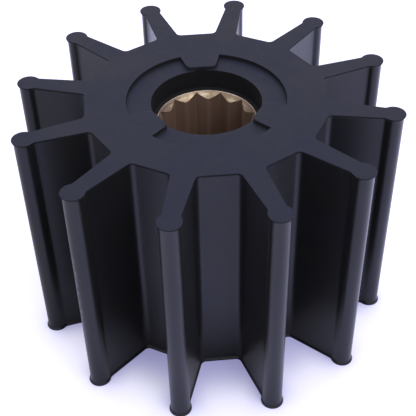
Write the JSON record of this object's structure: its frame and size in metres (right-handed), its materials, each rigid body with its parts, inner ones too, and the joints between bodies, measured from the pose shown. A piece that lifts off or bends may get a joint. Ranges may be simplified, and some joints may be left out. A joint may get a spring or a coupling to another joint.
{
  "type": "flexible rubber pump impeller",
  "caption": "Straight-vaned flexible rubber impeller bonded to a splined brass bush, for a marine raw-water pump; the vanes fold as it turns.",
  "frame": {"origin": "centre of the lower end face, on the shaft axis", "axes": "+Z along the shaft axis towards the other end face; +X through the middle of a vane"},
  "size_m": [0.0952, 0.0952, 0.0635],
  "materials": {
    "rubber": "satin moulded nitrile or neoprene rubber",
    "brass": "turned and broached, bright end face, brown in the splined hole"
  },
  "bodies": {
    "root": {"rubber_impeller": "rubber", "splined_bush": "brass"}
  },
  "joints": []
}
